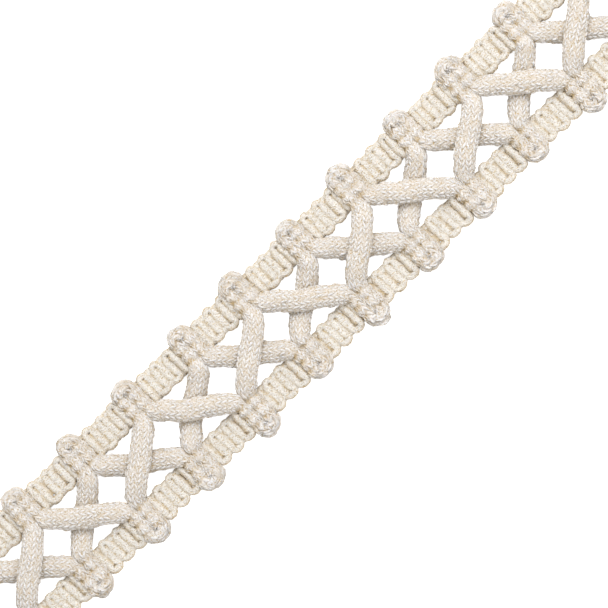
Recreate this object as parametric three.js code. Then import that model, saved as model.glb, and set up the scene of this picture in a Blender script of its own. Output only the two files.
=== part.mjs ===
// A cut length of openwork braid: two gimp headings, joined by two knitted cords that zigzag
// between them in opposite steps, so that a row of diamonds lies open along the middle.
// Millimetres. X runs along the braid, Y across it to its left, and Z up from the surface
// it lies on. The origin is under the middle of the length, on the centre line.
import * as THREE from "three";

// The whole length
const REPEAT = 24; // from one picot to the next on the same edge
const REPEATS = 12;
const LENGTH = REPEAT * REPEATS;
const LEFT = 1; // towards +Y
const RIGHT = -1;

// The headings, measured out from the centre line
const INNER_CUSP = 9.4;
const OUTER_CUSP = 18.9;
const SCALLOP_DEPTH = 1; // from the cusps to the crests, at both edges
const OUTER_SCALLOPS = 3; // between two picots
const INNER_SCALLOPS = 4; // in a repeat
const HEADING_THICK = 2.3;
const TUCK_HALF = 4.2; // half the stretch that draws in under a picot
const TUCK_EDGE = 17.2; // how far out the heading reaches there
const SCALLOP_STEPS = 3;

// The cords
const CORD_SIDES = 8;
const LEG_ASIDE = 2.1; // from a node's middle to the middle of each of its two legs
const PICOT_BACK = 4.05; // from a picot's outermost point back to the middle of its turn
const TURN_STEPS = 4;
const TURN_WIDE = 3.9;
const CORNER_REACH = 5.8; // where two legs part, at a diamond's corner
const HEADING_REACH = 10.5; // where they are in line with their picot

// One cord from a crossing to its turn at the edge. Run is the distance from the node's middle
// along the braid and reach the distance from the centre line. Over and under are the heights
// of the section's middle on the cord that passes over at each crossing and on the other one.
const COURSE = [
  { run: 12.0, reach: 0.0, wide: 7.3, thick: 3.6, over: 6.1, under: 2.0 },
  { run: 8.3, reach: 2.7, wide: 7.1, thick: 3.8, over: 6.0, under: 2.1 },
  { run: 5.4, reach: 5.3, wide: 6.9, thick: 4.2, over: 5.4, under: 3.1 },
  { run: 3.6, reach: 6.95, wide: 6.8, thick: 4.0, over: 4.85, under: 4.45 },
  { run: 2.7, reach: 8.3, wide: 5.3, thick: 3.4, over: 4.4, under: 4.4 },
  { run: 2.15, reach: 11.2, wide: 3.9, thick: 2.9, over: 4.1, under: 4.1 },
  { run: 2.1, reach: 17.2, wide: 3.9, thick: 2.9, over: 4.1, under: 4.1 },
];

// The turn's section at its ends, beside the legs, and at its outermost point
const TURN_START = { thick: 3.1, height: 3.9 };
const TURN_TOP = { thick: 4.4, height: 3.1 };

// The nodes, in repeats from the middle. Corners and picots are how far each node's have drifted
// along the braid from that place, on its left and on its right, and reaches are the picots'.
const NODES = [
  { at: -5.5, corners: [-0.3, -0.4], picots: [-0.7, 0.6], reaches: [22.8, 23.0] },
  { at: -4.5, corners: [-0.5, -0.4], picots: [-0.8, 0.3], reaches: [22.7, 22.6] },
  { at: -3.5, corners: [-0.6, -0.4], picots: [-0.7, 0.4], reaches: [22.6, 23.1] },
  { at: -2.5, corners: [0.0, -0.1], picots: [-0.6, 0.5], reaches: [22.6, 23.2] },
  { at: -1.5, corners: [0.1, 0.2], picots: [0.1, 0.7], reaches: [22.4, 23.6] },
  { at: -0.5, corners: [0.8, -0.4], picots: [-1.0, 1.3], reaches: [23.0, 22.2] },
  { at: 0.5, corners: [0.6, 0.6], picots: [-0.6, 1.5], reaches: [22.4, 23.2] },
  { at: 1.5, corners: [0.5, -0.2], picots: [-1.2, 1.5], reaches: [23.4, 22.6] },
  { at: 2.5, corners: [0.4, 0.3], picots: [-0.3, 1.1], reaches: [22.8, 22.7] },
  { at: 3.5, corners: [1.1, 0.5], picots: [-1.2, 1.0], reaches: [23.5, 21.9] },
  { at: 4.5, corners: [0.6, 0.2], picots: [-0.2, 0.8], reaches: [22.7, 23.4] },
  { at: 5.5, corners: [-0.1, 0.1], picots: [-0.6, 0.6], reaches: [22.9, 22.6] },
];

// How far each crossing has drifted, from one end of the braid to the other
const CROSSINGS = [
  { along: 0, across: 0 },
  { along: -0.4, across: 0.2 },
  { along: -0.8, across: -0.1 },
  { along: -0.9, across: -0.4 },
  { along: -1.1, across: 0.1 },
  { along: -0.4, across: -0.6 },
  { along: 0.1, across: -0.2 },
  { along: 0.2, across: -0.9 },
  { along: 0.2, across: 0.3 },
  { along: 0.6, across: 0.2 },
  { along: 0.4, across: 0.2 },
  { along: 0.2, across: 0.2 },
  { along: 0, across: 0 },
];

const IVORY = new THREE.MeshStandardMaterial({ color: 0xe9e1d4, roughness: 0.95, metalness: 0 });
const CREAM = new THREE.MeshStandardMaterial({ color: 0xe8dcc6, roughness: 0.95, metalness: 0 });

// Where a node lies along the braid at a given distance from the centre line
function nodeX(node, side, reach) {
  const hand = side === LEFT ? 0 : 1;
  const outer = THREE.MathUtils.clamp((reach - CORNER_REACH) / (HEADING_REACH - CORNER_REACH), 0, 1);
  return node.at * REPEAT + THREE.MathUtils.lerp(node.corners[hand], node.picots[hand], outer);
}

// A row of equal scallops along one edge, from the pen's place to the given one
function addScallops(outline, side, from, to, count, cusp, depth) {
  const pitch = (to - from) / count;
  for (let i = 1; i <= count; i++) {
    const end = from + i * pitch;
    outline.quadraticCurveTo(end - pitch / 2, side * (cusp + 2 * depth), end, side * cusp);
  }
}

// The heading's outline: scallops between the picots outside, and all along the inside
function headingOutline(side) {
  const outline = new THREE.Shape();
  const end = LENGTH / 2;
  let from = -end;
  let count = Math.ceil(OUTER_SCALLOPS / 2); // the end bays are half as long
  outline.moveTo(from, side * OUTER_CUSP);
  for (const node of NODES) {
    const middle = nodeX(node, side, TUCK_EDGE);
    addScallops(outline, side, from, middle - TUCK_HALF, count, OUTER_CUSP, SCALLOP_DEPTH);
    outline.lineTo(middle - TUCK_HALF, side * TUCK_EDGE);
    outline.lineTo(middle + TUCK_HALF, side * TUCK_EDGE);
    outline.lineTo(middle + TUCK_HALF, side * OUTER_CUSP);
    from = middle + TUCK_HALF;
    count = OUTER_SCALLOPS;
  }
  addScallops(outline, side, from, end, Math.ceil(OUTER_SCALLOPS / 2), OUTER_CUSP, SCALLOP_DEPTH);
  outline.lineTo(end, side * INNER_CUSP);
  addScallops(outline, side, end, -end, INNER_SCALLOPS * REPEATS, INNER_CUSP, -SCALLOP_DEPTH);
  outline.closePath();
  return outline;
}

function makeHeading(name, side) {
  const options = { depth: HEADING_THICK, bevelEnabled: false, curveSegments: SCALLOP_STEPS };
  const mesh = new THREE.Mesh(new THREE.ExtrudeGeometry(headingOutline(side), options), CREAM);
  mesh.name = name;
  return mesh;
}

// The sections of one node's cord between a crossing and its turn. Way is -1 on the leg that
// comes in, 1 on the one that goes out.
function legSections(node, crossing, side, level, way) {
  return COURSE.map((row) => {
    const near = Math.max(1 - row.reach / CORNER_REACH, 0);
    const drift = nodeX(node, side, row.reach) - node.at * REPEAT;
    return {
      x: node.at * REPEAT + way * row.run + THREE.MathUtils.lerp(drift, crossing.along, near),
      y: side * row.reach + crossing.across * near,
      z: row[level],
      wide: row.wide,
      thick: row.thick,
    };
  });
}

// The sections of the tight turn at the edge, whose bulge is the picot
function turnSections(node, side) {
  const reach = node.reaches[side === LEFT ? 0 : 1] - PICOT_BACK;
  const sections = [];
  for (let i = 0; i <= TURN_STEPS; i++) {
    const angle = (Math.PI * i) / TURN_STEPS;
    const out = Math.sin(angle);
    sections.push({
      x: nodeX(node, side, reach) - LEG_ASIDE * Math.cos(angle),
      y: side * (reach + LEG_ASIDE * out),
      z: THREE.MathUtils.lerp(TURN_START.height, TURN_TOP.height, out),
      wide: TURN_WIDE,
      thick: THREE.MathUtils.lerp(TURN_START.thick, TURN_TOP.thick, out),
    });
  }
  return sections;
}

// A whole cord: it turns at one edge on the even nodes and at the other on the odd ones
function cordSections(level, firstSide) {
  const sections = [];
  NODES.forEach((node, i) => {
    const side = i % 2 ? -firstSide : firstSide;
    const incoming = legSections(node, CROSSINGS[i], side, level, -1);
    const outgoing = legSections(node, CROSSINGS[i + 1], side, level, 1).reverse();
    if (i < NODES.length - 1) outgoing.pop(); // the next node's leg starts with that section
    sections.push(...incoming, ...turnSections(node, side), ...outgoing);
  });
  return sections;
}

// A closed capsule of eight sides, drawn out along the sections. Its two ends are cut square
// across the braid, so they are wider than the cord by the slant of its course.
function makeCord(name, level, firstSide) {
  const sections = cordSections(level, firstSide);
  const last = sections.length - 1;
  const line = new THREE.CatmullRomCurve3(sections.map((s) => new THREE.Vector3(s.x, s.y, s.z)));
  const up = new THREE.Vector3(0, 0, 1);
  const sideways = sections.map((s, i) => {
    const along = line.getTangent(i / last).setZ(0).normalize();
    const isEnd = i === 0 || i === last;
    const across = isEnd ? new THREE.Vector3(0, -1 / along.x, 0) : along.cross(up);
    return across.multiplyScalar(s.wide / 2);
  });
  const geometry = new THREE.CylinderGeometry(1, 1, last, CORD_SIDES, last);
  const position = geometry.attributes.position;
  const flatUp = Math.PI / CORD_SIDES; // turns the octagon so that it lies on a side
  for (let i = 0; i < position.count; i++) {
    const row = Math.round(position.getY(i) + last / 2);
    const angle = Math.atan2(position.getZ(i), position.getX(i)) + flatUp;
    const radius = Math.hypot(position.getX(i), position.getZ(i)) / Math.cos(flatUp);
    const point = sideways[row].clone().multiplyScalar(radius * Math.cos(angle));
    point.addScaledVector(up, radius * Math.sin(angle) * (sections[row].thick / 2));
    const { x, y, z } = sections[row];
    position.setXYZ(i, point.x + x, point.y + y, point.z + z);
  }
  const mesh = new THREE.Mesh(geometry, IVORY);
  mesh.name = name;
  return mesh;
}

const braid = new THREE.Group();
braid.add(makeHeading("left_heading", LEFT));
braid.add(makeHeading("right_heading", RIGHT));
braid.add(makeCord("over_cord", "over", RIGHT));
braid.add(makeCord("under_cord", "under", LEFT));

export default braid;
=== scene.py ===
"""A length of openwork braid: two gimp headings, joined by two knitted cords that cross between them.

Metres. X runs along the braid, Y across it to its left edge, and Z up from the surface it lies on.
The origin is under the middle of the length, on the centre line, at a crossing of the two cords.
"""

import math
from typing import NamedTuple

import bmesh
import bpy
import numpy as np
from bpy.props import FloatProperty, FloatVectorProperty, IntProperty, PointerProperty
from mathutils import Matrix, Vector


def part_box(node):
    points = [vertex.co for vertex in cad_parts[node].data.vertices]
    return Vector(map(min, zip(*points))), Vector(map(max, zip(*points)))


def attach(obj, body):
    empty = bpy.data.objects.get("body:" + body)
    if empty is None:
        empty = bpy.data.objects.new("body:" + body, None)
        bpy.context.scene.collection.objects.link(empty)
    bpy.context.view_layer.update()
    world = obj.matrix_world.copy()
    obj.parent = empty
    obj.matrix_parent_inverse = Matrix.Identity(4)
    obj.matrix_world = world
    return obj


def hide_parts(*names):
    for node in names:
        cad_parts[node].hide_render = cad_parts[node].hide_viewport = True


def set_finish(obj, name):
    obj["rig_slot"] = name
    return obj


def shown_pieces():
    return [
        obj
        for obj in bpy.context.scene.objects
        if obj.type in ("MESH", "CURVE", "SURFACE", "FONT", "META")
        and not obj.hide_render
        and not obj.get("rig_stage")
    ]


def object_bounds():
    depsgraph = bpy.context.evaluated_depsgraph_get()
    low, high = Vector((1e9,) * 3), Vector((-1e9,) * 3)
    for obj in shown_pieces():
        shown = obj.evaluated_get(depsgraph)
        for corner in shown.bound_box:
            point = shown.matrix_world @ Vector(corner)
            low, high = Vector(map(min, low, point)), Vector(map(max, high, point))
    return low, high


bl_info = {
    "name": "Openwork Braid",
    "version": (1, 0, 0),
    "blender": (4, 5, 0),
    "location": "View3D > Sidebar > Braid",
    "description": "Lays gimp headings, knitted cords and warp threads into a length of openwork braid",
    "category": "Add Mesh",
}

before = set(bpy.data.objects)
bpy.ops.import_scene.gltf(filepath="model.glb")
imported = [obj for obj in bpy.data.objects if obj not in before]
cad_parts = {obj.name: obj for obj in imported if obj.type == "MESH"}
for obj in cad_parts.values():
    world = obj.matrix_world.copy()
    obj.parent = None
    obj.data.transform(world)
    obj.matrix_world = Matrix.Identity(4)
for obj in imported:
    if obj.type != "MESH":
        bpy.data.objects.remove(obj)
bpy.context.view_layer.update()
HALF_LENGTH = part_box("left_heading")[1].x
HEADING_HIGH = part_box("left_heading")[1].z

LEFT = 1
RIGHT = -1
SIDE_NAMES = {LEFT: "left", RIGHT: "right"}
CORNER_REACH = 0.0058  # where two legs meet, at a diamond's corner
HEADING_REACH = 0.0105  # where they are in line with their picot
HEADING_WIDE = 0.0105  # from its inner edge to its outer one
WARP_REACHES = {LEFT: (0.0109, 0.0145, 0.0181), RIGHT: (0.0104, 0.0138, 0.0179)}  # where threads bind


class Section(NamedTuple):
    """A cord's section: its place from the node's middle, its size, and its height on each cord.

    The dome is how much rounder its top is than its underside, from 0 to 1.
    """

    run: float
    reach: float
    wide: float
    thick: float
    over: float
    under: float
    dome: float


class Node(NamedTuple):
    """A node's place in repeats, and its drift along the braid at both corners and both picots.

    The reaches are how far out its two picots lie.
    """

    at: float
    left_corner: float
    right_corner: float
    left: float
    right: float
    left_reach: float
    right_reach: float


class Crossing(NamedTuple):
    """How far a crossing has drifted along and across the braid."""

    along: float
    across: float


# From a crossing to the start of the turn at the edge
COURSE = (
    Section(0.0120, 0.0, 0.0071, 0.0030, 0.0057, 0.0023, 0.6),
    Section(0.0083, 0.0027, 0.0069, 0.0032, 0.0057, 0.0023, 0.6),
    Section(0.0054, 0.0053, 0.0067, 0.0036, 0.0052, 0.0030, 0.55),
    Section(0.0036, 0.00695, 0.0066, 0.0036, 0.0045, 0.0037, 0.5),
    Section(0.0026, 0.0083, 0.0061, 0.0032, 0.0040, 0.0038, 0.3),
    Section(0.00205, 0.0102, 0.0054, 0.0030, 0.0035, 0.0035, 0.1),
    Section(0.0019, 0.0120, 0.0056, 0.0029, 0.00335, 0.00335, 0.0),
    Section(0.0019, 0.0172, 0.0056, 0.0029, 0.00335, 0.00335, 0.0),
)
LEG_ASIDE = 0.0019  # from a node's middle to the middle of each of its two legs
PICOT_BACK = 0.0041  # from a picot's outermost point back to the middle of its turn
TURN_DEEP = 0.0016  # from there to the cord's middle at the outermost point
TURN_STEPS = 6
TURN_HEIGHT = (0.0034, 0.0030)  # beside the legs, and at the outermost point
TURN_WIDE = (0.0054, 0.0048)
TURN_THICK = (0.0031, 0.0044)
TURN_DOME = (0.1, 0.5)

NODES = (
    Node(-5.5, -0.0003, -0.0004, -0.0007, 0.0006, 0.0228, 0.0230),
    Node(-4.5, -0.0005, -0.0004, -0.0008, 0.0003, 0.0227, 0.0226),
    Node(-3.5, -0.0006, -0.0004, -0.0007, 0.0004, 0.0226, 0.0231),
    Node(-2.5, 0.0000, -0.0001, -0.0006, 0.0005, 0.0226, 0.0232),
    Node(-1.5, 0.0001, 0.0002, 0.0001, 0.0007, 0.0224, 0.0236),
    Node(-0.5, 0.0008, -0.0004, -0.0010, 0.0013, 0.0230, 0.0222),
    Node(0.5, 0.0006, 0.0006, -0.0006, 0.0015, 0.0224, 0.0232),
    Node(1.5, 0.0005, -0.0002, -0.0012, 0.0015, 0.0234, 0.0226),
    Node(2.5, 0.0004, 0.0003, -0.0003, 0.0011, 0.0228, 0.0227),
    Node(3.5, 0.0011, 0.0005, -0.0012, 0.0010, 0.0235, 0.0219),
    Node(4.5, 0.0006, 0.0002, -0.0002, 0.0008, 0.0227, 0.0234),
    Node(5.5, -0.0001, 0.0001, -0.0006, 0.0006, 0.0229, 0.0226),
)
CROSSINGS = (
    Crossing(0.0, 0.0),
    Crossing(-0.0004, 0.0002),
    Crossing(-0.0008, -0.0001),
    Crossing(-0.0009, -0.0004),
    Crossing(-0.0011, 0.0001),
    Crossing(-0.0004, -0.0006),
    Crossing(0.0001, -0.0002),
    Crossing(0.0002, -0.0009),
    Crossing(0.0002, 0.0003),
    Crossing(0.0006, 0.0002),
    Crossing(0.0004, 0.0002),
    Crossing(0.0002, 0.0002),
    Crossing(0.0, 0.0),
)


class BraidSizes(bpy.types.PropertyGroup):
    """What a maker would set before working the braid."""

    repeat: FloatProperty(
        name="Repeat",
        description="From one picot to the next on the same edge",
        default=0.024,
        unit="LENGTH",
    )
    wales: IntProperty(name="Wales", description="Columns of stitches around a cord", default=8)
    course: FloatProperty(
        name="Course",
        description="Length of one row of stitches along a cord",
        default=0.00183,
        unit="LENGTH",
    )
    stitch_relief: FloatProperty(
        name="Stitch relief",
        description="From the crest of a stitch down to the groove beside it",
        default=0.00046,
        unit="LENGTH",
    )
    leg_pitch: FloatProperty(
        name="Gimp pitch",
        description="From one pass of the gimp yarn to the next",
        default=0.0027,
        unit="LENGTH",
    )
    thread_wide: FloatProperty(
        name="Warp thread",
        description="Width of the threads that bind each heading",
        default=0.00036,
        unit="LENGTH",
    )


class BraidColours(bpy.types.PropertyGroup):
    """The yarns' colours, the colour of the shade painted between them, and the floor's."""

    ivory: FloatVectorProperty(
        name="Cord",
        description="Colour of the knitted cord",
        default=(0.812, 0.802, 0.806),
        subtype="COLOR",
    )
    cream: FloatVectorProperty(
        name="Gimp",
        description="Colour of the gimp yarn",
        default=(0.815, 0.785, 0.737),
        subtype="COLOR",
    )
    warp: FloatVectorProperty(
        name="Warp",
        description="Colour of the warp threads",
        default=(0.74, 0.64, 0.49),
        subtype="COLOR",
    )
    # The colour painted in where shade falls: deep between the yarns, on their flanks and at their
    # pinches
    shade: FloatVectorProperty(
        name="Painted shade",
        description="Colour deep between the yarns",
        default=(0.55, 0.40, 0.20),
        subtype="COLOR",
    )
    floor: FloatVectorProperty(
        name="Floor",
        description="Colour of the floor",
        default=(0.95, 0.95, 0.95),
        subtype="COLOR",
    )


def node_x(node, side, reach):
    """Where a node's middle lies along the braid, at a distance out from the centre line."""
    corner, picot = (node.left_corner, node.left) if side == LEFT else (node.right_corner, node.right)
    outer = min(max((reach - CORNER_REACH) / (HEADING_REACH - CORNER_REACH), 0.0), 1.0)
    return node.at * bpy.context.scene.braid_sizes.repeat + corner * (1 - outer) + picot * outer


ROUTE_STEP = 0.0001  # between two samples of a yarn's route
LEAST_STEPS = 4  # between two of its knots


def smooth_route(knots):
    """Runs a smooth line through the knots, whose first three columns are its place, and samples it.

    The first column of the result is the length so far, and the knots' own columns follow.
    """
    knots = np.asarray(knots, float)
    gaps = np.linalg.norm(np.diff(knots[:, :3], axis=0), axis=1)
    slopes = np.diff(knots, axis=0) / gaps[:, None]
    inner = slopes[:-1] * gaps[1:, None] + slopes[1:] * gaps[:-1, None]
    inner = inner / (gaps[:-1] + gaps[1:])[:, None]
    tangents = np.vstack([slopes[:1], inner, slopes[-1:]])
    pieces = []
    for i, gap in enumerate(gaps):
        t = np.linspace(0, 1, max(int(gap / ROUTE_STEP * 2), LEAST_STEPS), endpoint=False)[:, None]
        start = (1 + 2 * t) * (1 - t) ** 2 * knots[i] + t * (1 - t) ** 2 * gap * tangents[i]
        end = t * t * (3 - 2 * t) * knots[i + 1] + t * t * (t - 1) * gap * tangents[i + 1]
        pieces.append(start + end)
    fine = np.vstack(pieces + [knots[-1:]])
    so_far = np.concatenate([[0], np.cumsum(np.linalg.norm(np.diff(fine[:, :3], axis=0), axis=1))])
    at = np.linspace(0, so_far[-1], int(so_far[-1] / ROUTE_STEP) + 1)
    return np.column_stack([at] + [np.interp(at, so_far, column) for column in fine.T])


def sample(route, at):
    """The route's columns after its length, at any lengths along it, with its heading in plan."""
    columns = [np.interp(at, route[:, 0], column) for column in route[:, 1:].T]
    turn_x = np.gradient(route[:, 1], route[:, 0])
    turn_y = np.gradient(route[:, 2], route[:, 0])
    heading = np.arctan2(np.interp(at, route[:, 0], turn_y), np.interp(at, route[:, 0], turn_x))
    return columns, heading


def turning(route, at, spread):
    """Which way a route turns around lengths along it: 1 in a half turn to its left, -1 to its right."""
    heading = np.unwrap(np.arctan2(np.gradient(route[:, 2]), np.gradient(route[:, 1])))
    ahead = np.interp(at + spread, route[:, 0], heading)
    behind = np.interp(at - spread, route[:, 0], heading)
    return np.clip((ahead - behind) / math.pi, -1, 1)


def flat_grid(name, rows, around):
    """A grid of quads to roll into a tube, with each vertex's row and column."""
    bm = bmesh.new()
    bmesh.ops.create_grid(bm, x_segments=rows, y_segments=around, size=1.0)
    mesh = bpy.data.meshes.new(name)
    bm.to_mesh(mesh)
    bm.free()
    place = np.empty(len(mesh.vertices) * 3)
    mesh.vertices.foreach_get("co", place)
    place = place.reshape(-1, 3)
    row = np.rint((place[:, 0] + 1) / 2 * rows)
    column = np.rint((place[:, 1] + 1) / 2 * around)
    return mesh, row, column


def squared(value, square):
    """A sine or cosine for a curve that is a circle at a square of 2 and squarer above it."""
    return np.sign(value) * np.abs(value) ** (2 / square)


def around_section(column, around, square=2.0, crowded=0.0):
    """How far across and up the columns lie on a section, from its underside round to it again.

    They may be crowded towards its top.
    """
    turn = 2 * math.pi * column / around
    turn = turn + crowded * np.sin(turn) - math.pi / 2
    return squared(np.cos(turn), square), squared(np.sin(turn), square)


def yarn_map(at, column, around, girth):
    """The map of a yarn's surface in millimetres, along it and around it from its top."""
    return np.column_stack([at, (column / around - 0.5) * girth]) * 1000


def roll_up(mesh, place, uv, painted_shade_mask):
    """Moves a flat grid's vertices to their places, and gives it its yarn map and its mask of painted
    shade.
    """
    mesh.vertices.foreach_set("co", place.ravel())
    corner = np.empty(len(mesh.loops), int)
    mesh.loops.foreach_get("vertex_index", corner)
    mesh.uv_layers.new(name="Yarn").data.foreach_set("uv", uv[corner].ravel())
    mesh.attributes.new("painted_shade_mask", "FLOAT", "POINT").data.foreach_set("value", painted_shade_mask)


CUT_DEEP = 0.0004  # how far a yarn's middle draws back where it is cut
TOUCHING = 1e-7  # how far apart two vertices may be and still count as one


def close_tube(mesh, column, around):
    """Sews a rolled grid's seam, cuts it square at both ends of the braid and closes the cuts."""
    bm = bmesh.new()
    bm.from_mesh(mesh)
    bm.verts.ensure_lookup_table()
    seam = [bm.verts[i] for i in np.flatnonzero((column == 0) | (column == around))]
    bmesh.ops.remove_doubles(bm, verts=seam, dist=TOUCHING)
    for end in (-1, 1):
        bmesh.ops.bisect_plane(
            bm,
            geom=bm.verts[:] + bm.edges[:] + bm.faces[:],
            dist=TOUCHING,
            plane_co=(end * HALF_LENGTH, 0, 0),
            plane_no=(end, 0, 0),
            clear_outer=True,
        )
    for face in bm.faces:
        face.smooth = True
    caps = bmesh.ops.holes_fill(bm, edges=[e for e in bm.edges if e.is_boundary], sides=0)
    for face in caps["faces"]:
        face.smooth = False
    bmesh.ops.recalc_face_normals(bm, faces=bm.faces)
    bmesh.ops.poke(bm, faces=caps["faces"], offset=-CUT_DEEP)
    bm.to_mesh(mesh)
    bm.free()


def join_meshes(name, meshes):
    """One mesh of several tubes."""
    bm = bmesh.new()
    for mesh in meshes:
        bm.from_mesh(mesh)
        bpy.data.meshes.remove(mesh)
    joined = bpy.data.meshes.new(name)
    bm.to_mesh(joined)
    bm.free()
    return joined


def add_piece(name, mesh, material, slot, *replaced):
    """Links a finished mesh as a piece of the braid."""
    piece = bpy.data.objects.new(name, mesh)
    bpy.context.scene.collection.objects.link(piece)
    mesh.materials.append(material)
    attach(piece, "root")
    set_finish(piece, slot)
    if replaced:
        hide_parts(*replaced)
    return piece


def drawn_at_warp(y, spread):
    """How far the warp threads draw a yarn in, from 0 to 1, at places across the braid."""
    drawn = 0
    for side, lines in WARP_REACHES.items():
        for line in lines:
            drawn = drawn + np.exp(-(((y - side * line) / spread) ** 2))
    return np.clip(drawn, 0, 1)


def leg_knots(node, crossing, side, level, way):
    """One leg's knots, from the crossing it shares with the next node out to the turn."""
    nominal = node.at * bpy.context.scene.braid_sizes.repeat
    knots = []
    for row in COURSE:
        near = max(1 - row.reach / CORNER_REACH, 0.0)
        drift = crossing.along * near + (node_x(node, side, row.reach) - nominal) * (1 - near)
        y = side * row.reach + crossing.across * near
        x = nominal + way * row.run + drift
        knots.append((x, y, getattr(row, level), row.wide, row.thick, row.dome))
    return knots


def turn_knots(node, side):
    """The knots of the tight turn at the edge, whose bulge is the picot."""
    reach = (node.left_reach if side == LEFT else node.right_reach) - PICOT_BACK
    knots = []
    for k in range(TURN_STEPS + 1):
        angle = math.pi * k / TURN_STEPS
        out = math.sin(angle)
        x = node_x(node, side, reach) - LEG_ASIDE * math.cos(angle)
        ends = (TURN_HEIGHT, TURN_WIDE, TURN_THICK, TURN_DOME)
        section = [beside + (outermost - beside) * out for beside, outermost in ends]
        knots.append((x, side * (reach + TURN_DEEP * out), *section))
    return knots


def cord_knots(level, first_side):
    """The knots of a whole cord: x, y, z, width, thickness and dome."""
    knots = []
    for i, node in enumerate(NODES):
        side = -first_side if i % 2 else first_side
        incoming = leg_knots(node, CROSSINGS[i], side, level, -1)
        outgoing = leg_knots(node, CROSSINGS[i + 1], side, level, 1)[::-1]
        knots += incoming + turn_knots(node, side) + (outgoing if node is NODES[-1] else outgoing[:-1])
    before = 2 * np.array(knots[0]) - np.array(knots[1])
    after = 2 * np.array(knots[-1]) - np.array(knots[-2])
    return [before] + knots + [after]


def lumps(rng, row, column, around, long, wide):
    """Soft random lumps on a yarn, so many rows long and columns wide, mostly from -1 to 1."""
    at, beside = row / long, column / wide
    i, j = at.astype(int), beside.astype(int)
    f, g = at - i, beside - j
    f, g = f * f * (3 - 2 * f), g * g * (3 - 2 * g)
    cells = int(around / wide)
    height = rng.normal(0, 1, (i.max() + 2, cells))
    here = height[i, j % cells] * (1 - g) + height[i, (j + 1) % cells] * g
    ahead = height[i + 1, j % cells] * (1 - g) + height[i + 1, (j + 1) % cells] * g
    return here * (1 - f) + ahead * f


CORDS = (("over", RIGHT, 3), ("under", LEFT, 8))  # each one's level, first turn's side and seed

# The stitches of a cord
COLUMNS_A_WALE = 6
COLUMNS_A_LEG = COLUMNS_A_WALE // 2
ROWS_A_COURSE = 5
STITCH_RISE = 1.0  # how many courses a stitch's leg climbs
STITCH_BESIDE = 0.35  # how high it stays where it meets the leg beside it
STITCH_UNEVEN = 0.35  # how much the legs' heights differ
STITCH_INSIDE = 0.62  # the part of the relief that lies inside the cord's section
CORD_CROWDED = 0.15  # how much closer the stitches stand on top of a cord
CORD_FUZZ = 0.00003
CORD_ROLLS = ((0.3, 0.031, 1), (0.2, 0.0123, 2))  # wales it rolls by, over which length, and when

# Where a warp thread binds a cord
PINCH_SPREAD = 0.0009  # how far from the thread the cord is drawn in
PINCH_THIN = 0.14
PINCH_NARROW = 0.12
PINCH_SHADED = 1.2  # how much shade is painted golden on its shoulder there, its side towards -X
PINCH_TOP = 0.2  # and its top, as a part of that
DIMPLE_DEEP = 0.00038  # how far in its shoulder is drawn

# Over a heading
LEG_SQUARE = 0.6  # how much squarer than round its section is
LEG_SMOOTH = 0.75  # the part of its relief that is left
LEG_PALE = 0.4  # how much less shade is painted in its grooves

# In the turn at the edge
TURN_START = 0.0172  # how far out it starts
TURN_BLEND = 0.001  # over which its shape sets in
TURN_BEND = 0.003  # how far ahead and behind its bend is taken
TURN_SQUARE = 0.2  # how much squarer its section is
TURN_FILLED = 6.0  # and its inner side, which fills the middle

# Lumps on the legs over a heading and in the turns
LUMP_HIGH = 0.00018
LUMP_LONG = 2  # in rows
LUMP_WIDE = 3  # in columns
LUMP_SHADED = 0.35  # how much shade is painted golden in the hollows beside them

# Shade painted golden on a cord's flanks
FLANK_TOP = 0.6  # how high on its section they end
FLANK_HIGHER = 0.35  # and how much higher over a heading
FLANK_BLEND = 0.4
FLANK_SHADED = 0.25  # how much shade is painted on them


def stitch_crests(rng, row, column, rows):
    """How high each place on the knit stands, from 0 in a groove to about 1 on a stitch's leg."""
    legs = bpy.context.scene.braid_sizes.wales * 2
    phase = (row % ROWS_A_COURSE) / ROWS_A_COURSE
    plump = np.sqrt(np.clip(1 - (2 * phase - 1) ** 2, 0, 1))
    is_leg = (column % COLUMNS_A_LEG != 0).astype(float)
    leg = np.minimum(column // COLUMNS_A_LEG, legs - 1).astype(int)
    own = rng.normal(0, 1, (int(rows / ROWS_A_COURSE) + 2, legs))
    own = own[(row // ROWS_A_COURSE).astype(int), leg]
    return plump * (STITCH_BESIDE + (1 - STITCH_BESIDE) * is_leg) * (1 + STITCH_UNEVEN * own * is_leg)


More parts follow.
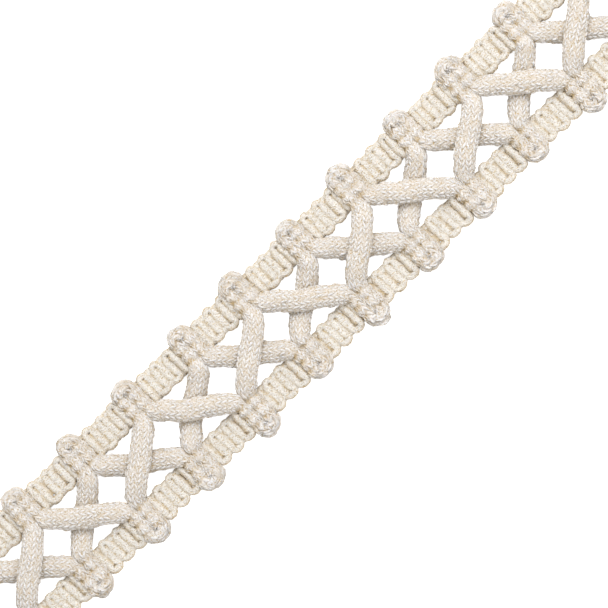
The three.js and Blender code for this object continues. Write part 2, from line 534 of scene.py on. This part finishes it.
def knit_cord(name, level, first_side, seed):
    """A knitted tube: every stitch shows two plump legs that lean apart."""
    sizes = bpy.context.scene.braid_sizes
    rng = np.random.default_rng(seed)
    route = smooth_route(cord_knots(level, first_side))
    around = sizes.wales * COLUMNS_A_WALE
    pitch = sizes.course / ROWS_A_COURSE
    rows = int(route[-1, 0] / pitch)
    mesh, row, column = flat_grid(name, rows, around)

    lean = np.abs(column % COLUMNS_A_WALE - COLUMNS_A_LEG) / COLUMNS_A_LEG
    at = row * pitch + STITCH_RISE * (lean - 0.5) * sizes.course
    (x, y, z, wide, thick, dome), heading = sample(route, at)

    # The section, on its route
    drawn = drawn_at_warp(y, PINCH_SPREAD)
    thick_here = thick * (1 - PINCH_THIN * drawn)
    z = z - (thick - thick_here) / 2
    a, b = wide * (1 - PINCH_NARROW * drawn) / 2, thick_here / 2
    over_heading = np.clip((np.abs(y) - CORNER_REACH) / (HEADING_REACH - CORNER_REACH), 0, 1)
    in_turn = np.clip((np.abs(y) - TURN_START) / TURN_BLEND, 0, 1)
    roll = sum(wales * np.sin(at / long + when * seed) for wales, long, when in CORD_ROLLS)
    turned = column + roll * COLUMNS_A_WALE
    plain, _ = around_section(turned, around)
    inside = in_turn * np.clip(-plain * turning(route, at, TURN_BEND), 0, 1)
    square = 2 + LEG_SQUARE * over_heading + TURN_SQUARE * in_turn + TURN_FILLED * inside
    across, up = around_section(turned, around, square, CORD_CROWDED)
    deep = b * (1 + dome * np.sign(up))
    out_side, out_up = across / a, up / deep
    length = np.hypot(out_side, out_up)
    out_side, out_up = out_side / length, out_up / length

    # The stitches and lumps that stand out from it
    crest = stitch_crests(rng, row, column, rows)
    fuzz = rng.normal(0, CORD_FUZZ, (rows + 1, around))[row.astype(int), column.astype(int) % around]
    lump = (over_heading + in_turn) * lumps(rng, row, column, around, LUMP_LONG, LUMP_WIDE)
    relief = sizes.stitch_relief * (1 - (1 - LEG_SMOOTH) * over_heading * (1 - in_turn))
    shoulder = np.clip(-across * np.sin(heading), 0, 1) * (1 - in_turn)
    lift = relief * (crest - STITCH_INSIDE) + fuzz - DIMPLE_DEEP * drawn * shoulder
    lift = lift + LUMP_HIGH * lump
    side = a * across + lift * out_side
    rise = up * deep - b * dome + lift * out_up
    place = np.column_stack([x + side * np.sin(heading), y - side * np.cos(heading), z + rise])

    # Where shade is painted golden: in the stitches' grooves, on the shoulders and tops at the warp
    # threads, on the flanks and beside the lumps
    flank_shade = np.clip((FLANK_TOP + FLANK_HIGHER * over_heading - np.abs(up)) / FLANK_BLEND, 0, 1)
    painted_shade_mask = np.clip(1 - crest, 0, 1) * (1 - LEG_PALE * over_heading)
    painted_shade_mask = painted_shade_mask + PINCH_SHADED * drawn * (PINCH_TOP + shoulder)
    painted_shade_mask = painted_shade_mask + FLANK_SHADED * flank_shade + LUMP_SHADED * np.clip(-lump, 0, 1)
    roll_up(mesh, place, yarn_map(at, column, around, math.pi * (a + b)), painted_shade_mask)
    close_tube(mesh, column, around)
    return mesh


class Loop(NamedTuple):
    """A loop of the gimp yarn: how far out its edge lies, the yarn's width, and how square it turns."""

    edge: float
    wide: float
    square: float


class Layer(NamedTuple):
    """One of a heading's two gimp yarns: its section, its mesh, and each side's loops, inner one first.

    The pinch is how much narrower it is where a warp thread binds it.
    """

    wide: float
    high: float
    bottom: float
    around: int
    step: float
    pinch: float
    loops: dict


GIMP_SEEDS = {LEFT: 21, RIGHT: 34}
GIMP_MIDDLE = 0.0143  # of a heading, from the centre line
GIMP_SLANT = {LEFT: -0.0001, RIGHT: 0.0007}  # along the braid, from the inner edge to the outer one
GIMP_ASIDE = {LEFT: -0.0001, RIGHT: 0.0005}  # how far the passes stand along from the bays' middles
GIMP_WOBBLE = 0.00016
GIMP_PAIRED = 0.00013  # how far the two passes of a broad loop stand apart from their even places
LOOP_DEGREES = (20, 55, 90, 125, 160)  # around a loop, where its knots lie
VISIBLE_LEGS = 6  # passes of the gimp yarn between two nodes
HIDDEN_LEGS = 4  # and under each node
TUCKED_EDGE = 0.0181  # how far out it goes there
BESIDE_NODE = 0.0052  # from a node's middle to the pass beside it, which it lifts
BESIDE_SPREAD = 0.00208  # and how far around that
BESIDE_RISE = (0.0014, 0.0008)  # before a node and after it
UNDER_NODE = 0.0036  # from a node's middle, how far the gimp is pressed down
UNDER_PRESS = 0.0006
BOUND_SPREAD = 0.0006  # how far from a warp thread the gimp is drawn in
BOUND_THIN = 0.5  # how much thinner it is there, as a part of its pinch
BOUND_PALE = 0.6  # how much of its painted shade the thread hides
GIMP_PALE = 0.98  # how high on its section the painted shade ends, and where it is full
GIMP_GOLDEN = 0.72
GIMP_BEND = 0.004  # how far ahead and behind a loop's bend is taken
INSIDE_NARROW = 0.12  # how much narrower the painted shade is on the inside of a loop
INSIDE_SHADED = 0.5  # and how much stronger
GIMP_FUZZ = 0.00008
FUZZ_SHADED = 0.15  # how much shade is painted into the fuzz's hollows
FUZZ_DEEPEST = 1.5  # past which they grow no more golden

FRONT = Layer(
    wide=0.0038,
    high=0.0013,
    bottom=0.0010,
    around=22,
    step=0.00037,
    pinch=0.04,
    loops={
        LEFT: (Loop(0.0086, 0.0026, 3.0), Loop(0.0198, 0.0023, 1.8)),
        RIGHT: (Loop(0.0089, 0.0023, 2.1), Loop(0.0201, 0.0026, 3.0)),
    },
)
BACK = Layer(
    wide=0.0036,
    high=0.0021,
    bottom=0.0,
    around=12,
    step=0.0006,
    pinch=0.0,
    loops={
        LEFT: (Loop(0.0092, 0.0028, 4.5), Loop(0.0191, 0.0028, 4.5)),
        RIGHT: (Loop(0.0095, 0.0028, 4.5), Loop(0.0189, 0.0028, 4.5)),
    },
)


def slanted(side, x, reach):
    """Where a pass of the gimp lies along the braid, with x at the heading's middle."""
    return x + GIMP_SLANT[side] * (reach - GIMP_MIDDLE) / HEADING_WIDE


def gimp_legs(side, seed):
    """The gimp yarn's passes across a heading: x at its middle, and whether a node hides it."""
    sizes = bpy.context.scene.braid_sizes
    rng = np.random.default_rng(seed)
    legs = []
    half = (VISIBLE_LEGS - 1) / 2 * sizes.leg_pitch
    bays = len(NODES) + 1
    for bay in range(bays):
        centre = (bay - (bays - 1) / 2) * sizes.repeat + GIMP_ASIDE[side]
        for k in range(VISIBLE_LEGS):
            paired = side * GIMP_PAIRED * (1 if k % 2 == 0 else -1)
            x = centre - half + k * sizes.leg_pitch + paired + rng.normal(0, GIMP_WOBBLE)
            legs.append((x, False))
        gap = sizes.repeat - 2 * half
        for k in range(1, HIDDEN_LEGS + 1):
            legs.append((centre + half + gap * k / (HIDDEN_LEGS + 1), True))
    return legs


def gimp_knots(side, legs, layer, rng):
    """A gimp yarn's knots, back and forth across a heading: x, y, z and width."""

    def at(x, reach, wide):
        return slanted(side, x, reach), side * reach, 0.0, wide

    inner, outer = layer.loops[side]
    knots = []
    for i, ((x, hidden), (next_x, next_hidden)) in enumerate(zip(legs, legs[1:])):
        outwards = (i % 2 == 0) == (layer is FRONT)
        way = 1 if outwards else -1
        loop = outer if outwards else inner
        edge = min(loop.edge, TUCKED_EDGE) if hidden and next_hidden else loop.edge
        end = edge - way * loop.wide / 2 + rng.normal(0, GIMP_WOBBLE)
        radius = (next_x - x) / 2
        bend = end - way * radius
        wide = layer.wide * min(2 * radius / bpy.context.scene.braid_sizes.leg_pitch, 1)
        knots.append(at(x, GIMP_MIDDLE, wide))
        knots.append(at(x, bend - way * radius / 2, wide))
        for degrees in LOOP_DEGREES:
            across = squared(math.cos(math.radians(degrees)), loop.square)
            out = squared(math.sin(math.radians(degrees)), loop.square)
            knots.append(at((x + next_x) / 2 - across * radius, bend + way * out * radius, loop.wide))
        knots.append(at(next_x, bend - way * radius / 2, wide))
    return knots


def node_rise(side, x):
    """How far the nodes lift the gimp beside them and press it down under them."""
    middles = np.array([node_x(node, side, GIMP_MIDDLE) for node in NODES])
    nearest = middles[np.abs(x[:, None] - middles).argmin(axis=1)]
    away = np.abs(x - nearest)
    rise = np.where(x < nearest, *BESIDE_RISE)
    beside = rise * np.exp(-(((away - BESIDE_NODE) / BESIDE_SPREAD) ** 2))
    return beside - UNDER_PRESS * np.exp(-((away / UNDER_NODE) ** 4))


def lay_gimp(name, side, layer, seed):
    """A thick soft yarn laid back and forth across a heading."""
    rng = np.random.default_rng(seed)
    legs = gimp_legs(side, seed)
    route = smooth_route(gimp_knots(side, legs, layer, rng))
    rows = int(route[-1, 0] / layer.step)
    mesh, row, column = flat_grid(name, rows, layer.around)
    at = row * layer.step
    (x, y, z, wide), heading = sample(route, at)
    drawn = drawn_at_warp(y, BOUND_SPREAD)
    high = layer.high + (node_rise(side, x) if layer is FRONT else 0)
    high = high * (1 - layer.pinch * drawn * BOUND_THIN)
    a, b = wide / 2 * (1 - layer.pinch * drawn), high / 2

    across, up = around_section(column, layer.around)
    fuzz = rng.normal(0, 1, (rows + 1, layer.around))[row.astype(int), column.astype(int) % layer.around]
    lift = GIMP_FUZZ * fuzz
    side_out = (a + lift) * across
    z = np.maximum(layer.bottom + b + (b + lift) * up, 0)
    place = np.column_stack([x + side_out * np.sin(heading), y - side_out * np.cos(heading), z])

    # Shade painted golden low on the yarn's section, stronger inside a loop's bend and in the fuzz's
    # hollows, fainter where a warp thread binds it
    inside = np.clip(-across * turning(route, at, GIMP_BEND), 0, 1)
    level = np.abs(up) + INSIDE_NARROW * inside
    painted_shade_mask = np.clip((GIMP_PALE - level) / (GIMP_PALE - GIMP_GOLDEN), 0, 1) * (1 - BOUND_PALE * drawn)
    painted_shade_mask = painted_shade_mask * (1 + INSIDE_SHADED * inside) + FUZZ_SHADED * np.clip(-fuzz, 0, FUZZ_DEEPEST)
    roll_up(mesh, place, yarn_map(at, column, layer.around, math.pi * (a + b)), painted_shade_mask)
    close_tube(mesh, column, layer.around)
    return mesh


THREAD_AROUND = 6  # sides
THREAD_STEP = 0.00055  # between its rows of vertices
THREAD_ASIDE = 0.00016  # from a line to each of its two threads
THREAD_OVER_CORD = 0.0042  # how high the binders are on a node's legs, and between them
THREAD_IN_GROOVE = 0.0031
THREAD_LEAST_RUN = 0.01  # the square of how far a thread runs on at least, as a part of its length
THREAD_SHADED = 0.5


def thread_knots(side, line, is_binder, legs, offset):
    """One warp thread's knots: it goes over and under the gimp, and the binders over the cords too."""
    radius = bpy.context.scene.braid_sizes.thread_wide / 2
    over = HEADING_HIGH - FRONT.high * FRONT.pinch * BOUND_THIN
    y = side * (line + offset)
    knots = []
    for i, (x, hidden) in enumerate(legs):
        goes_over = (i % 2 == 0) == is_binder
        if not hidden:
            knots.append((slanted(side, x, line), y, over if goes_over else radius))
        elif not is_binder:
            knots.append((slanted(side, x, line), y, radius))
    if is_binder:
        for node in NODES:
            middle = node_x(node, side, line)
            knots.append((middle - LEG_ASIDE, y, THREAD_OVER_CORD))
            knots.append((middle, y, THREAD_IN_GROOVE))
            knots.append((middle + LEG_ASIDE, y, THREAD_OVER_CORD))
    return sorted(knots)


def lay_threads(name, side, legs):
    """The fine threads that run along a heading and bind the gimp and the cords."""
    radius = bpy.context.scene.braid_sizes.thread_wide / 2
    tubes = []
    for line in WARP_REACHES[side]:
        for is_binder, offset in ((True, -THREAD_ASIDE), (False, THREAD_ASIDE)):
            route = smooth_route(thread_knots(side, line, is_binder, legs, offset))
            rows = int(route[-1, 0] / THREAD_STEP)
            mesh, row, column = flat_grid(name, rows, THREAD_AROUND)
            at = row * THREAD_STEP
            (x, y, z), _ = sample(route, at)
            rise = np.interp(at, route[:, 0], np.gradient(route[:, 3], route[:, 0]))
            run = np.sqrt(np.clip(1 - rise**2, THREAD_LEAST_RUN, 1))
            across, up = around_section(column, THREAD_AROUND)
            place = np.column_stack([x - rise * up * radius, y + across * radius, z + run * up * radius])
            uv = yarn_map(at, column, THREAD_AROUND, 2 * math.pi * radius)
            roll_up(mesh, place, uv, np.full(len(at), THREAD_SHADED))
            close_tube(mesh, column, THREAD_AROUND)
            tubes.append(mesh)
    return join_meshes(name, tubes)


# Shade painted into the hollows, from how far a place lies below the tops around it
HOLLOW_CELL = 0.0005  # of the grid that the braid's tops are noted on
HOLLOW_CELLS = 6  # how far around a cell the tops are averaged
HOLLOW_SPREAD = 0.0009
HOLLOW_DEEP = 0.0009  # below those around it, where a place is fully marked
HOLLOW_START = 0.15  # of that depth, and nothing shallower is marked
HOLLOW_FADE = 2  # how quickly the mask fades on what faces down


def mark_hollows(pieces):
    """Gives each piece a mask of how deep its points lie below what is around them, for shade painted
    into the hollows.
    """
    low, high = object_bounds()
    across = [int((high[k] - low[k]) / HOLLOW_CELL) + 2 for k in (0, 1)]
    tops = np.zeros(across)
    places = []
    for piece in pieces:
        place = np.empty(len(piece.data.vertices) * 3)
        piece.data.vertices.foreach_get("co", place)
        place = place.reshape(-1, 3)
        cell = np.rint((place[:, :2] - np.array(low[:2])) / HOLLOW_CELL).astype(int)
        np.maximum.at(tops, (cell[:, 0], cell[:, 1]), place[:, 2])
        places.append(place)
    steps = np.arange(-HOLLOW_CELLS, HOLLOW_CELLS + 1) * HOLLOW_CELL
    kernel = np.exp(-((steps / HOLLOW_SPREAD) ** 2))
    kernel /= kernel.sum()
    for axis in (0, 1):
        tops = np.apply_along_axis(np.convolve, axis, tops, kernel, mode="same")
    for piece, place in zip(pieces, places):
        at = (place[:, :2] - np.array(low[:2])) / HOLLOW_CELL
        cell = np.minimum(at.astype(int), np.array(across) - 2)
        (fx, fy), (ix, iy) = (at - cell).T, cell.T
        near = tops[ix, iy] * (1 - fx) * (1 - fy) + tops[ix + 1, iy] * fx * (1 - fy)
        near += tops[ix, iy + 1] * (1 - fx) * fy + tops[ix + 1, iy + 1] * fx * fy
        facing = np.empty(len(place) * 3)
        piece.data.vertex_normals.foreach_get("vector", facing)
        upward = np.clip(facing.reshape(-1, 3)[:, 2] * HOLLOW_FADE + 1, 0, 1)
        hollow_shade = np.clip((near - place[:, 2]) / HOLLOW_DEEP - HOLLOW_START, 0, 1) * upward
        piece.data.attributes.new("hollow_shade", "FLOAT", "POINT").data.foreach_set("value", hollow_shade)


def group_socket(group, name, in_out, kind, default=None):
    """Adds one socket to a node group."""
    socket = group.interface.new_socket(name=name, in_out=in_out, socket_type=kind)
    if default is not None:
        socket.default_value = default
    return socket


def map_range(nodes, links, value, given, wanted=(0, 1)):
    """A node that maps one range of a value to another."""
    node = nodes.new("ShaderNodeMapRange")
    for name, number in zip(("From Min", "From Max", "To Min", "To Max"), (*given, *wanted)):
        node.inputs[name].default_value = number
    links.new(value, node.inputs["Value"])
    return node.outputs["Result"]


def calculate(nodes, links, operation, first, second):
    """A math node; each of its two terms is a socket or a number."""
    node = nodes.new("ShaderNodeMath")
    node.operation = operation
    for socket, term in zip(node.inputs, (first, second)):
        if isinstance(term, bpy.types.NodeSocket):
            links.new(term, socket)
        else:
            socket.default_value = term
    return node.outputs["Value"]


def noise(nodes, links, place, scale, detail=1):
    """Noise, at so many lumps in a unit of its place."""
    node = nodes.new("ShaderNodeTexNoise")
    node.inputs["Scale"].default_value = scale
    node.inputs["Detail"].default_value = detail
    links.new(place, node.inputs["Vector"])
    return node.outputs["Fac"]


def mask(nodes, name):
    """A mask that the mesh carries."""
    node = nodes.new("ShaderNodeAttribute")
    node.attribute_name = name
    return node.outputs["Fac"]


# How the range of a noise or of the grain is read, and what it becomes
FLECKS = (0.32, 0.68)
FUZZ = (0.3, 0.7)
PITS = ((0.37, 0.12), (0, 0.75))  # gold in the grain's low places
GRAIN_TONES = ((0.1, 0.9), (0.86, 1.12))
PATCH_TONES = ((0.3, 0.7), (0.96, 1.04))
ROUGHNESS = ((0.2, 0.8), (0.84, 1))
FUZZ_SCALE = 2600  # lumps in a metre
PATCH_SCALE = 230
PATCH_DETAIL = 3
GROOVE_SHADED = 0.5  # how much shade a full mask paints, before the yarn's own amount


def spun_yarn_group():
    """Shared by all the yarns: flecks of fibre on the yarn map, fuzz, uneven colour, and shade painted
    golden into grooves and hollows.
    """
    group = bpy.data.node_groups.get("Spun yarn")
    if group:
        return group
    group = bpy.data.node_groups.new("Spun yarn", "ShaderNodeTree")
    group_socket(group, "Colour", "INPUT", "NodeSocketColor", (0.8, 0.8, 0.8, 1))
    group_socket(group, "Shade", "INPUT", "NodeSocketColor", (0.5, 0.4, 0.2, 1))
    group_socket(group, "Fleck", "INPUT", "NodeSocketVector", (1.0, 0.4, 1.0))
    group_socket(group, "Shade amount", "INPUT", "NodeSocketFloat", 0.6)
    group_socket(group, "Hollow shade amount", "INPUT", "NodeSocketFloat", 0.6)
    group_socket(group, "Colour", "OUTPUT", "NodeSocketColor")
    group_socket(group, "Roughness", "OUTPUT", "NodeSocketFloat")
    group_socket(group, "Height", "OUTPUT", "NodeSocketFloat")
    nodes, links = group.nodes, group.links
    given = nodes.new("NodeGroupInput").outputs
    result = nodes.new("NodeGroupOutput").inputs

    on_yarn = nodes.new("ShaderNodeUVMap")
    on_yarn.uv_map = "Yarn"
    in_space = nodes.new("ShaderNodeTexCoord").outputs["Object"]
    flecked = nodes.new("ShaderNodeVectorMath")
    flecked.operation = "DIVIDE"
    links.new(on_yarn.outputs["UV"], flecked.inputs[0])
    links.new(given["Fleck"], flecked.inputs[1])
    flecks = map_range(nodes, links, noise(nodes, links, flecked.outputs["Vector"], 1.0), FLECKS)
    fuzz = map_range(nodes, links, noise(nodes, links, in_space, FUZZ_SCALE), FUZZ)
    both = calculate(nodes, links, "ADD", flecks, fuzz)
    grain = calculate(nodes, links, "MULTIPLY", both, 0.5)

    # Painted shade: the groove and hollow masks, with random golden pits where the grain is low, mix the
    # colour towards the shade colour
    pits = map_range(nodes, links, grain, *PITS)
    grooves = calculate(nodes, links, "MULTIPLY", mask(nodes, "painted_shade_mask"), GROOVE_SHADED)
    golden = calculate(nodes, links, "ADD", grooves, pits)
    golden = calculate(nodes, links, "MULTIPLY", golden, given["Shade amount"])
    deep = calculate(nodes, links, "MULTIPLY", mask(nodes, "hollow_shade"), given["Hollow shade amount"])
    amount = calculate(nodes, links, "ADD", golden, deep)
    amount = calculate(nodes, links, "MINIMUM", amount, 1)

    bright = map_range(nodes, links, grain, *GRAIN_TONES)
    patches = noise(nodes, links, in_space, PATCH_SCALE, PATCH_DETAIL)
    uneven = map_range(nodes, links, patches, *PATCH_TONES)
    toned = nodes.new("ShaderNodeVectorMath")
    toned.operation = "SCALE"
    links.new(given["Colour"], toned.inputs[0])
    links.new(calculate(nodes, links, "MULTIPLY", bright, uneven), toned.inputs["Scale"])
    shaded = nodes.new("ShaderNodeMix")
    shaded.data_type = "RGBA"
    links.new(amount, shaded.inputs["Factor"])
    links.new(toned.outputs["Vector"], shaded.inputs["A"])
    links.new(given["Shade"], shaded.inputs["B"])
    links.new(shaded.outputs["Result"], result["Colour"])
    links.new(map_range(nodes, links, grain, *ROUGHNESS), result["Roughness"])
    links.new(grain, result["Height"])
    return group


class YarnGrainAndShade(NamedTuple):
    """A yarn's grain and painted shade: its flecks' length and width in millimetres, and how much shade
    is painted golden into its grooves and hollows.

    Bump is how high its grain stands.
    """

    fleck: tuple
    shade: float
    hollow_shade: float
    bump: float


CORD_GRAIN_AND_SHADE = YarnGrainAndShade(fleck=(0.5, 0.42), shade=1.05, hollow_shade=0.15, bump=0.0003)
GIMP_GRAIN_AND_SHADE = YarnGrainAndShade(fleck=(0.4, 0.5), shade=1.05, hollow_shade=0.2, bump=0.0004)
WARP_GRAIN_AND_SHADE = YarnGrainAndShade(fleck=(0.5, 0.3), shade=0.5, hollow_shade=0.6, bump=0.0001)
COTTON = {
    "Sheen Weight": 0.2,
    "Sheen Roughness": 0.5,
    "Specular IOR Level": 0.2,
    "Subsurface Weight": 0.1,
    "Subsurface Radius": (1.0, 0.8, 0.55),
    "Subsurface Scale": 0.0012,
}
BUMP_STRENGTH = 0.8


def yarn_material(name, colour, grain_and_shade):
    """A matt spun cotton yarn, from the shared group."""
    material = bpy.data.materials.new(name)
    material.use_nodes = True
    nodes, links = material.node_tree.nodes, material.node_tree.links
    shader = nodes["Principled BSDF"]
    for socket, value in COTTON.items():
        shader.inputs[socket].default_value = value
    yarn = nodes.new("ShaderNodeGroup")
    yarn.node_tree = spun_yarn_group()
    colours = bpy.context.scene.braid_colours
    yarn.inputs["Colour"].default_value = (*colour, 1)
    yarn.inputs["Shade"].default_value = (*colours.shade, 1)
    yarn.inputs["Fleck"].default_value = (*grain_and_shade.fleck, 1)
    yarn.inputs["Shade amount"].default_value = grain_and_shade.shade
    yarn.inputs["Hollow shade amount"].default_value = grain_and_shade.hollow_shade
    links.new(yarn.outputs["Colour"], shader.inputs["Base Color"])
    links.new(yarn.outputs["Roughness"], shader.inputs["Roughness"])
    relief = nodes.new("ShaderNodeBump")
    relief.inputs["Strength"].default_value = BUMP_STRENGTH
    relief.inputs["Distance"].default_value = grain_and_shade.bump
    links.new(yarn.outputs["Height"], relief.inputs["Height"])
    links.new(relief.outputs["Normal"], shader.inputs["Normal"])
    return material


class BRAID_OT_cords(bpy.types.Operator):
    """Knit the two cords that zigzag between the headings"""

    bl_idname = "braid.cords"
    bl_label = "Knitted Cords"

    def execute(self, context):
        material = yarn_material("Knitted cotton", context.scene.braid_colours.ivory, CORD_GRAIN_AND_SHADE)
        for level, first_side, seed in CORDS:
            node = f"{level}_cord"
            name = f"{node}_knit"
            add_piece(name, knit_cord(name, level, first_side, seed), material, "knitted_cord", node)
        return {"FINISHED"}


class BRAID_OT_headings(bpy.types.Operator):
    """Lay the gimp yarn of both headings"""

    bl_idname = "braid.headings"
    bl_label = "Gimp Headings"

    def execute(self, context):
        material = yarn_material("Gimp cotton", context.scene.braid_colours.cream, GIMP_GRAIN_AND_SHADE)
        for side, seed in GIMP_SEEDS.items():
            node = f"{SIDE_NAMES[side]}_heading"
            for layer, name in ((FRONT, f"{node}_gimp"), (BACK, f"{node}_back_gimp")):
                add_piece(name, lay_gimp(name, side, layer, seed), material, "gimp", node)
        return {"FINISHED"}


class BRAID_OT_threads(bpy.types.Operator):
    """Bind both headings with their warp threads"""

    bl_idname = "braid.threads"
    bl_label = "Warp Threads"

    def execute(self, context):
        material = yarn_material("Warp cotton", context.scene.braid_colours.warp, WARP_GRAIN_AND_SHADE)
        for side, seed in GIMP_SEEDS.items():
            name = f"{SIDE_NAMES[side]}_warp_threads"
            legs = gimp_legs(side, seed)
            add_piece(name, lay_threads(name, side, legs), material, "gimp")
        return {"FINISHED"}


class BRAID_OT_hollows(bpy.types.Operator):
    """Mark the hollows between the yarns, where shade is painted into their colour"""

    bl_idname = "braid.hollows"
    bl_label = "Hollow shade"

    def execute(self, context):
        mark_hollows([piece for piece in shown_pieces() if "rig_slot" in piece])
        return {"FINISHED"}


class BRAID_OT_stage(bpy.types.Operator):
    """Lay the floor and set the lights and the camera"""

    bl_idname = "braid.stage"
    bl_label = "Floor, Lights and Camera"

    def execute(self, context):
        scene = context.scene
        scene.view_settings.view_transform = "Standard"
        add_floor(scene.braid_colours.floor)
        add_lights(scene)
        add_camera(scene)
        return {"FINISHED"}


PICTURE_TURN = math.radians(44.7)  # the braid's slant across the picture
PICTURE_UP = Vector((math.sin(PICTURE_TURN), math.cos(PICTURE_TURN), 0))
PICTURE_WIDE = 0.1905  # what the picture shows from side to side
CAMERA_AWAY = 1.2
CAMERA_AIM = Vector((-0.00085, -0.00113, 0.004))
CAMERA_CLIP = (0.05, 20)
SENSOR = 36.0
FLOOR_HALF = 3.0
FLOOR_BELOW = 0.00005  # how far it lies under the braid
FLOOR_GLOW = 0.75
SURROUND = (1, 0.99, 0.975, 1)
SURROUND_STRENGTH = 0.9
KEY_SIZE = 0.6
KEY_WATTS = 6.5
KEY_PLACE = PICTURE_UP * 0.65 + Vector((0, 0, 0.85))


def add_camera(scene):
    """Straight above the braid, which then runs from corner to corner."""
    camera = bpy.data.cameras.new("Camera")
    camera.sensor_width = SENSOR
    camera.lens = SENSOR * CAMERA_AWAY / PICTURE_WIDE
    camera.clip_start, camera.clip_end = CAMERA_CLIP
    seat = bpy.data.objects.new("Camera", camera)
    seat.location = CAMERA_AIM + Vector((0, 0, CAMERA_AWAY))
    seat.rotation_euler = (0, 0, -PICTURE_TURN)
    scene.collection.objects.link(seat)
    scene.camera = seat


def add_floor(colour):
    """A plain pale floor that glows where the camera sees it, as on a light table."""
    bm = bmesh.new()
    bmesh.ops.create_grid(bm, x_segments=2, y_segments=2, size=FLOOR_HALF)
    mesh = bpy.data.meshes.new("floor")
    bm.to_mesh(mesh)
    bm.free()
    floor = bpy.data.objects.new("floor", mesh)
    floor.location.z = -FLOOR_BELOW
    bpy.context.scene.collection.objects.link(floor)
    material = bpy.data.materials.new("Floor")
    material.use_nodes = True
    shader = material.node_tree.nodes["Principled BSDF"]
    shader.inputs["Base Color"].default_value = (*colour, 1)
    shader.inputs["Roughness"].default_value = 0.9
    shader.inputs["Specular IOR Level"].default_value = 0.1
    shader.inputs["Emission Color"].default_value = (1, 1, 1, 1)
    nodes, links = material.node_tree.nodes, material.node_tree.links
    seen = nodes.new("ShaderNodeLightPath")
    glow = nodes.new("ShaderNodeMath")
    glow.operation = "MULTIPLY"
    glow.inputs[1].default_value = FLOOR_GLOW
    links.new(seen.outputs["Is Camera Ray"], glow.inputs[0])
    links.new(glow.outputs["Value"], shader.inputs["Emission Strength"])
    mesh.materials.append(material)
    floor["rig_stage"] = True


def add_lights(scene):
    """One broad soft light from the top of the picture, and an even, slightly warm surround."""
    world = bpy.data.worlds.new("Studio")
    world.use_nodes = True
    background = world.node_tree.nodes["Background"]
    background.inputs["Color"].default_value = SURROUND
    background.inputs["Strength"].default_value = SURROUND_STRENGTH
    scene.world = world
    key = bpy.data.lights.new("Key", "AREA")
    key.shape = "SQUARE"
    key.size = KEY_SIZE
    key.energy = KEY_WATTS
    lamp = bpy.data.objects.new("Key", key)
    lamp.location = KEY_PLACE
    lamp.rotation_euler = (-KEY_PLACE).to_track_quat("-Z", "Y").to_euler()
    scene.collection.objects.link(lamp)


class BRAID_PT_panel(bpy.types.Panel):
    """The braid's sizes, colours and pieces"""

    bl_idname = "BRAID_PT_panel"
    bl_label = "Braid"
    bl_space_type = "VIEW_3D"
    bl_region_type = "UI"
    bl_category = "Braid"

    def draw(self, context):
        for group in (context.scene.braid_sizes, context.scene.braid_colours):
            box = self.layout.box()
            for name in group.__annotations__:
                box.prop(group, name)
        for operator in OPERATORS:
            self.layout.operator(operator.bl_idname)


OPERATORS = (BRAID_OT_stage, BRAID_OT_cords, BRAID_OT_headings, BRAID_OT_threads, BRAID_OT_hollows)
CLASSES = (BraidSizes, BraidColours, *OPERATORS, BRAID_PT_panel)


def register():
    """Makes the panel and its operators known."""
    for cls in CLASSES:
        bpy.utils.register_class(cls)
    bpy.types.Scene.braid_sizes = PointerProperty(type=BraidSizes)
    bpy.types.Scene.braid_colours = PointerProperty(type=BraidColours)


def unregister():
    """Forgets them again."""
    del bpy.types.Scene.braid_colours
    del bpy.types.Scene.braid_sizes
    for cls in reversed(CLASSES):
        bpy.utils.unregister_class(cls)


def main():
    """Makes the braid and its stage."""
    register()
    bpy.ops.braid.stage()
    bpy.ops.braid.cords()
    bpy.ops.braid.headings()
    bpy.ops.braid.threads()
    bpy.ops.braid.hollows()


if __name__ == "__main__":
    main()
